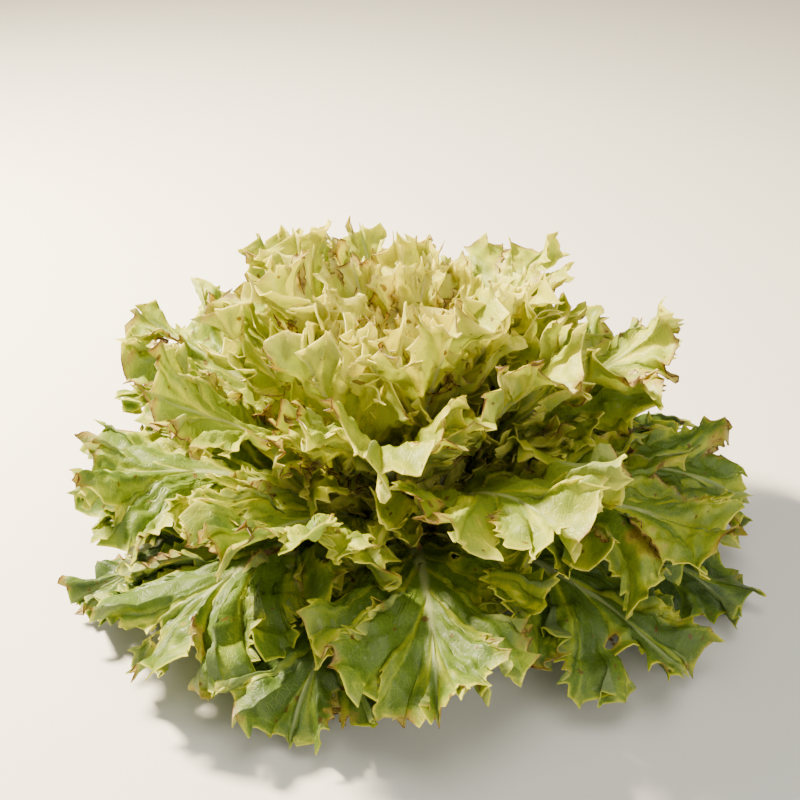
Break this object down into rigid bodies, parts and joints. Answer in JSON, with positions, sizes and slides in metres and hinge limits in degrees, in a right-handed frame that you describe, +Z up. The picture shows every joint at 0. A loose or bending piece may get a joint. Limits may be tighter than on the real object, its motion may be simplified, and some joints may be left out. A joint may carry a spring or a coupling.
{
  "type": "curly endive head",
  "caption": "Head of curly endive: frilled, toothed leaves in a dense rosette, dark green outside and pale yellow at the heart, cut at the crown.",
  "frame": {"origin": "middle of the crown's cut face, which stands on the surface", "axes": "+Z up through the heart, -Y towards the side that is seen first, +X to the right of it"},
  "size_m": [0.3809, 0.3678, 0.1749],
  "materials": {
    "outer_leaf": "satin leaf, dark green with pale ribs and frilled edges",
    "middle_leaf": "satin leaf, light green with cream ribs and frilled edges",
    "heart_leaf": "satin leaf, pale yellow with cream ribs and frilled edges",
    "crown": "matte cream stem with a cut face"
  },
  "bodies": {
    "root": {"crown": "crown", "outer_leaf_01": "outer_leaf", "outer_leaf_02": "outer_leaf", "outer_leaf_03": "outer_leaf", "outer_leaf_04": "outer_leaf", "outer_leaf_05": "outer_leaf", "outer_leaf_06": "outer_leaf", "outer_leaf_07": "outer_leaf", "outer_leaf_08": "outer_leaf", "outer_leaf_09": "outer_leaf", "outer_leaf_10": "outer_leaf", "outer_leaf_11": "outer_leaf", "outer_leaf_12": "outer_leaf", "outer_leaf_13": "outer_leaf", "outer_leaf_14": "outer_leaf", "outer_leaf_15": "outer_leaf", "outer_leaf_16": "outer_leaf", "outer_leaf_17": "outer_leaf", "outer_leaf_18": "outer_leaf", "middle_leaf_01": "middle_leaf", "middle_leaf_02": "middle_leaf", "middle_leaf_03": "middle_leaf", "middle_leaf_04": "middle_leaf", "middle_leaf_05": "middle_leaf", "middle_leaf_06": "middle_leaf", "middle_leaf_07": "middle_leaf", "middle_leaf_08": "middle_leaf", "middle_leaf_09": "middle_leaf", "middle_leaf_10": "middle_leaf", "middle_leaf_11": "middle_leaf", "middle_leaf_12": "middle_leaf", "middle_leaf_13": "middle_leaf", "middle_leaf_14": "middle_leaf", "middle_leaf_15": "middle_leaf", "middle_leaf_16": "middle_leaf", "middle_leaf_17": "middle_leaf", "middle_leaf_18": "middle_leaf", "middle_leaf_19": "middle_leaf", "middle_leaf_20": "middle_leaf", "heart_leaf_01": "heart_leaf", "heart_leaf_02": "heart_leaf", "heart_leaf_03": "heart_leaf", "heart_leaf_04": "heart_leaf", "heart_leaf_05": "heart_leaf", "heart_leaf_06": "heart_leaf", "heart_leaf_07": "heart_leaf", "heart_leaf_08": "heart_leaf", "heart_leaf_09": "heart_leaf", "heart_leaf_10": "heart_leaf", "heart_leaf_11": "heart_leaf", "heart_leaf_12": "heart_leaf", "heart_leaf_13": "heart_leaf", "heart_leaf_14": "heart_leaf", "heart_leaf_15": "heart_leaf", "heart_leaf_16": "heart_leaf"}
  },
  "joints": []
}
